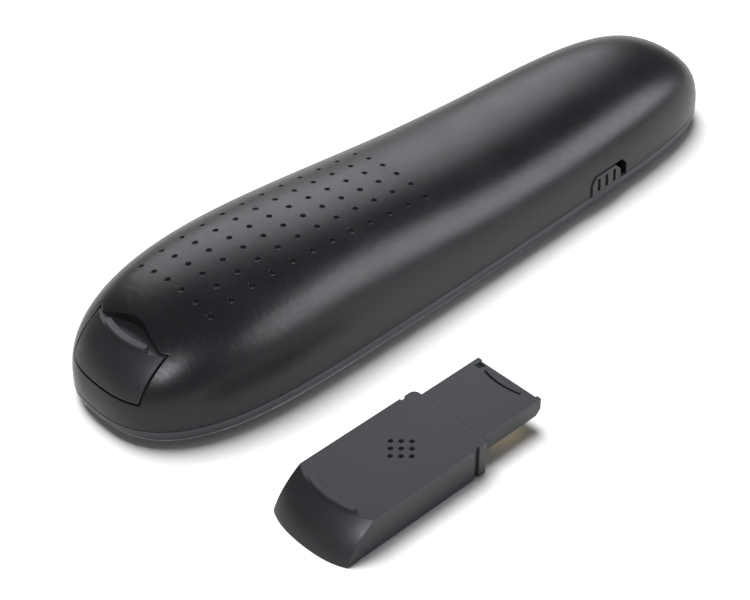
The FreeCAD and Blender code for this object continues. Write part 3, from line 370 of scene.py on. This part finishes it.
class ClickerStudio(bpy.types.PropertyGroup):
    """Camera, lamps and floor."""

    elevation: FloatProperty(
        name="Elevation", description="Camera's angle above the table",
        subtype="ANGLE", unit="ROTATION", default=math.radians(39.08))
    azimuth: FloatProperty(
        name="Azimuth", description="Camera's turn about the upright",
        subtype="ANGLE", unit="ROTATION", default=math.radians(-43.64))
    lens: FloatProperty(
        name="Lens", description="Focal length on a 36 mm wide frame, in mm",
        default=91.1)
    camera_place: FloatVectorProperty(
        name="Camera", description="Where the camera stands",
        subtype="XYZ", unit="LENGTH", size=3, default=(-0.13233, -0.16754, 0.18058))
    floor_half: FloatProperty(
        name="Floor", description="Half the floor's side",
        subtype="DISTANCE", unit="LENGTH", default=3.0)
    floor_drop: FloatProperty(
        name="Floor drop", description="How far the floor lies below the rest face",
        subtype="DISTANCE", unit="LENGTH", default=2e-5)
    lamp_power: FloatProperty(
        name="Lamps", description="Power that each lamp has its share of",
        subtype="POWER", unit="POWER", default=3.15)
    lamp_distance: FloatProperty(
        name="Lamp distance", description="From the object's middle to each lamp",
        subtype="DISTANCE", unit="LENGTH", default=0.55)
    table_light: FloatProperty(
        name="Table light", description="Strength of the light that whitens the table",
        min=0, max=10, default=2.05)
    table_softness: FloatProperty(
        name="Shadow softness", description="How wide the table's light looks",
        subtype="ANGLE", unit="ROTATION", default=math.radians(38.0))
    room_light: FloatProperty(
        name="Room light", description="Strength of the even light from the room",
        min=0, max=2, default=0.05)


def coat(material, *names):
    """Gives a material to CAD nodes, in place of every slot they have."""
    for name in names:
        mesh = NODES[name].data
        mesh.materials.clear()
        mesh.materials.append(material)
        mesh.polygons.foreach_set("material_index", np.zeros(len(mesh.polygons), np.int32))


def nodes_of_slot(slot):
    """The CAD nodes that the record gives this material slot."""
    return [part["node"] for part in frame["record"]["subparts"] if part["material_slot"] == slot]


# Operators

# Name, turn about the upright and height above the table in degrees, width and
# height in metres, share of the lamp power
LAMPS = (
    ("soft_box_right", -47.0, 30.0, (0.56, 0.32), 1.1),
    ("soft_box_left", 60.0, 31.0, (0.50, 0.32), 0.52),
    ("soft_box_under", 55.0, -55.0, (0.45, 0.45), 0.38),
    ("soft_box_tail", -155.0, 42.0, (0.17, 0.15), 0.55),
)
LAMP_COLOUR = (0.93, 0.96, 1.0)
TABLE_LIGHT_TURN = math.radians(78.0)
TABLE_LIGHT_HEIGHT = math.radians(68.0)
OBJECT_MIDDLE = Vector((0.035, 0.0, 0.01))
FLOOR_POINTS = 5
SENSOR_WIDTH = 36.0
NEAREST_SEEN = 0.01

# The paper: the two tones and the lift that the eye sees, and the tone that light bounces off
PAPER_PATCH = 0.12
PAPER_PALE = (0.97, 0.97, 0.97)
PAPER_WHITE = (1.0, 1.0, 1.0)
PAPER_LIFT = (0.9, 0.9, 0.9)
PAPER_BOUNCE = (0.72, 0.72, 0.72)


class CLICKER_OT_shells(bpy.types.Operator):
    """Finishes the dimpled back and the control face"""
    bl_idname = "clicker.shells"
    bl_label = "Shells"

    def execute(self, context):
        looks = context.scene.clicker_looks
        back = moulded("shell_satin", looks.shell_colour, looks.shell_roughness,
                       looks.grain, looks.grain_depth, edge=0.18e-3, rub=0.3)
        face = moulded("face_satin", looks.face_colour, roughness=0.42, grain=looks.grain,
                       depth=looks.grain_depth, edge=0.15e-3)
        coat(back, *nodes_of_slot("shell_plastic"))
        coat(face, *nodes_of_slot("face_plastic"))
        return {"FINISHED"}


class CLICKER_OT_receivers(bpy.types.Operator):
    """Finishes the docked and the loose stick receiver"""
    bl_idname = "clicker.receivers"
    bl_label = "Receivers"

    def execute(self, context):
        looks = context.scene.clicker_looks
        case = moulded("receiver_matt", looks.receiver_colour, roughness=0.40,
                       grain=looks.grain, depth=looks.grain_depth, edge=0.18e-3, rub=0.5)
        gold = plated("contact_gold", (0.70, 0.58, 0.34), roughness=0.30)
        coat(case, *nodes_of_slot("receiver_plastic"))
        coat(gold, *nodes_of_slot("gold"))
        return {"FINISHED"}


class CLICKER_OT_controls(bpy.types.Operator):
    """Finishes the keys, the power slider and what they push on"""
    bl_idname = "clicker.controls"
    bl_label = "Keys and slider"

    def execute(self, context):
        looks = context.scene.clicker_looks
        coat(rubber("key_rubber", looks.key_colour), *nodes_of_slot("button_rubber"))
        slider = moulded("slider_matt", looks.slider_colour, roughness=0.42,
                         grain=looks.grain, depth=looks.grain_depth, edge=0.1e-3, rub=0.6)
        coat(slider, *nodes_of_slot("slider_plastic"))
        inner = moulded("inner_moulding", looks.inner_colour, roughness=0.48,
                        grain=0.2e-3, depth=3e-6, edge=0.12e-3)
        coat(inner, *nodes_of_slot("inner_plastic"))
        return {"FINISHED"}


class CLICKER_OT_electronics(bpy.types.Operator):
    """Finishes the boards, the parts on them, the springs and the screws"""
    bl_idname = "clicker.electronics"
    bl_label = "Electronics and metal"

    def execute(self, context):
        finishes = {
            "board_green": circuit_board("board_lacquer", (0.012, 0.085, 0.035)),
            "chip_black": chip_epoxy("chip_epoxy", (0.014, 0.014, 0.015)),
            "ceramic": glazed("glazed_ceramic", (0.7, 0.66, 0.58)),
            "spring_metal": plated("spring_nickel", (0.66, 0.65, 0.62), roughness=0.26),
            "screw_steel": plated("screw_zinc", (0.52, 0.53, 0.55), roughness=0.34),
            "brass": plated("turned_brass", (0.78, 0.57, 0.26), roughness=0.24),
            "clear": clear_plastic("clear_pipe", (0.9, 0.93, 0.95), roughness=0.08),
            "dark_lens": clear_plastic("tinted_window", (0.10, 0.012, 0.012), roughness=0.04),
        }
        for slot, material in finishes.items():
            coat(material, *nodes_of_slot(slot))
        return {"FINISHED"}


class CLICKER_OT_cells(bpy.types.Operator):
    """Finishes the two cells, each with its bare ends the right way round"""
    bl_idname = "clicker.cells"
    bl_label = "Cells"

    def execute(self, context):
        for name in nodes_of_slot("cell_wrap"):
            low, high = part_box(name)
            sleeve = cell_sleeve(name + "_sleeve", (0.03, 0.036, 0.05), low[0], high[0],
                                 metal=(0.7, 0.69, 0.66))
            coat(sleeve, name)
        return {"FINISHED"}


class CLICKER_OT_studio(bpy.types.Operator):
    """Lays the floor, hangs the lamps and stands the camera"""
    bl_idname = "clicker.studio"
    bl_label = "Studio"

    def execute(self, context):
        studio = context.scene.clicker_studio
        self.lay_floor(studio)
        self.light_room(context.scene, studio)
        self.hang_lamps(context.scene, studio)
        self.stand_camera(context.scene, studio)
        context.scene.view_settings.view_transform = "Standard"
        return {"FINISHED"}

    def lay_floor(self, studio):
        """A flat square: x and y run over a grid from -half to +half, z is minus the drop."""
        side = np.linspace(-studio.floor_half, studio.floor_half, FLOOR_POINTS)
        across, along = np.meshgrid(side, side)
        height = np.full_like(across, -studio.floor_drop)
        points = np.stack([across, along, height], axis=-1).reshape(-1, 3)
        index = np.arange(FLOOR_POINTS ** 2).reshape(FLOOR_POINTS, FLOOR_POINTS)
        quads = np.stack([index[:-1, :-1], index[:-1, 1:], index[1:, 1:], index[1:, :-1]],
                         axis=-1).reshape(-1, 4)
        mesh = bpy.data.meshes.new("floor")
        mesh.from_pydata(points.tolist(), [], quads.tolist())
        floor = bpy.data.objects.new("floor", mesh)
        bpy.context.scene.collection.objects.link(floor)
        mesh.materials.append(self.paper())

    def seen(self, finish):
        """1 where the camera sees it, straight, in a gloss or through glass."""
        path = finish.node("ShaderNodeLightPath")
        outputs = path.socket.node.outputs
        camera, gloss, glass = (
            Wire(finish, outputs[name])
            for name in ("Is Camera Ray", "Is Glossy Ray", "Is Transmission Ray"))
        return finish.node("ShaderNodeMath", {"operation": "MINIMUM"},
                           {0: camera + gloss + glass, 1: 1.0})

    def paper(self):
        """White paper that bounces less than it shows and is clear from its underside."""
        finish = Finish("studio_paper")
        tone = finish.noise(PAPER_PATCH)
        pale = finish.mix(tone, PAPER_PALE, PAPER_WHITE)
        first = finish.node("ShaderNodeBsdfDiffuse", None, {"Color": pale})
        second = finish.node("ShaderNodeBsdfDiffuse", None, {"Color": opaque(PAPER_LIFT)})
        bright = finish.node("ShaderNodeAddShader", None, {0: first, 1: second})
        dull = finish.node("ShaderNodeBsdfDiffuse", None, {"Color": opaque(PAPER_BOUNCE)})
        top = finish.node("ShaderNodeMixShader", None,
                          {0: self.seen(finish), 1: dull, 2: bright})
        under = finish.node("ShaderNodeBsdfTransparent")
        underside = finish.node("ShaderNodeNewGeometry", output="Backfacing")
        finish.close(finish.node("ShaderNodeMixShader", None,
                                 {0: underside, 1: top, 2: under}))
        return finish.material

    def light_room(self, scene, studio):
        """An even, weak light from all round that the camera sees as white."""
        finish = Finish("studio_room", "worlds")
        scene.world = finish.material
        path = finish.node("ShaderNodeLightPath")
        camera = Wire(finish, path.socket.node.outputs["Is Camera Ray"])
        strength = finish.spread(camera, 0.0, 1.0, studio.room_light, 1.0)
        shader = finish.node("ShaderNodeBackground", None,
                             {"Color": (1, 1, 1, 1), "Strength": strength})
        finish.close(shader, "World")

    def hang_lamps(self, scene, studio):
        """Soft boxes at both flanks, the tail and below, and a sun for the table alone."""
        table, rest = self.lit_groups()
        for name, turn, height, size, share in LAMPS:
            turn, height = math.radians(turn), math.radians(height)
            place = OBJECT_MIDDLE + studio.lamp_distance * Vector((
                math.cos(turn) * math.cos(height), math.sin(turn) * math.cos(height),
                math.sin(height)))
            lamp = bpy.data.lights.new(name, "AREA")
            lamp.shape = "RECTANGLE"
            lamp.size, lamp.size_y = size
            lamp.energy = studio.lamp_power * share
            lamp.color = LAMP_COLOUR
            hung = bpy.data.objects.new(name, lamp)
            hung.location = place
            hung.rotation_euler = (
                OBJECT_MIDDLE - place).to_track_quat("-Z", "Y").to_euler()
            scene.collection.objects.link(hung)
            hung.light_linking.receiver_collection = rest
            if height < 0.0:
                hung.light_linking.blocker_collection = rest
        lamp = bpy.data.lights.new("table_light", "SUN")
        lamp.energy = studio.table_light
        lamp.angle = studio.table_softness
        hung = bpy.data.objects.new("table_light", lamp)
        hung.rotation_euler = (0.0, math.pi / 2 - TABLE_LIGHT_HEIGHT, TABLE_LIGHT_TURN)
        scene.collection.objects.link(hung)
        hung.light_linking.receiver_collection = table

    def lit_groups(self):
        """The table alone, and all but the table, as two groups that a lamp can light."""
        groups = []
        for name, state in (("table_only", "INCLUDE"), ("all_but_table", "EXCLUDE")):
            group = bpy.data.collections.new(name)
            group.objects.link(bpy.data.objects["floor"])
            group.collection_objects[0].light_linking.link_state = state
            groups.append(group)
        return groups

    def stand_camera(self, scene, studio):
        """Its back points away from the view: (sin a cos e, -cos a cos e, sin e)."""
        a, e = studio.azimuth, studio.elevation
        back = Vector((math.sin(a) * math.cos(e), -math.cos(a) * math.cos(e), math.sin(e)))
        right = Vector((math.cos(a), math.sin(a), 0.0))
        up = back.cross(right)
        lens = bpy.data.cameras.new("photo_camera")
        lens.sensor_width = SENSOR_WIDTH
        lens.lens = studio.lens
        lens.clip_start = NEAREST_SEEN
        camera = bpy.data.objects.new("photo_camera", lens)
        turn = Matrix((right, up, back)).transposed().to_4x4()
        camera.matrix_world = Matrix.Translation(Vector(studio.camera_place)) @ turn
        scene.collection.objects.link(camera)
        scene.camera = camera


STEPS = (
    CLICKER_OT_studio,
    CLICKER_OT_shells,
    CLICKER_OT_receivers,
    CLICKER_OT_controls,
    CLICKER_OT_electronics,
    CLICKER_OT_cells,
)


class CLICKER_PT_panel(bpy.types.Panel):
    """Lists the pieces' operators"""
    bl_idname = "CLICKER_PT_panel"
    bl_label = "Presentation Clicker"
    bl_space_type = "VIEW_3D"
    bl_region_type = "UI"
    bl_category = "Clicker"

    def draw(self, context):
        for step in STEPS:
            self.layout.operator(step.bl_idname)
        for group in (context.scene.clicker_looks, context.scene.clicker_studio):
            box = self.layout.box()
            for key in group.__annotations__:
                box.prop(group, key)


CLASSES = (ClickerLooks, ClickerStudio, *STEPS, CLICKER_PT_panel)


def register():
    for made in CLASSES:
        bpy.utils.register_class(made)
    bpy.types.Scene.clicker_looks = PointerProperty(type=ClickerLooks)
    bpy.types.Scene.clicker_studio = PointerProperty(type=ClickerStudio)


def unregister():
    del bpy.types.Scene.clicker_studio
    del bpy.types.Scene.clicker_looks
    for made in reversed(CLASSES):
        bpy.utils.unregister_class(made)


def main():
    register()
    bpy.ops.clicker.studio()
    bpy.ops.clicker.shells()
    bpy.ops.clicker.receivers()
    bpy.ops.clicker.controls()
    bpy.ops.clicker.electronics()
    bpy.ops.clicker.cells()


if __name__ == "__main__":
    main()
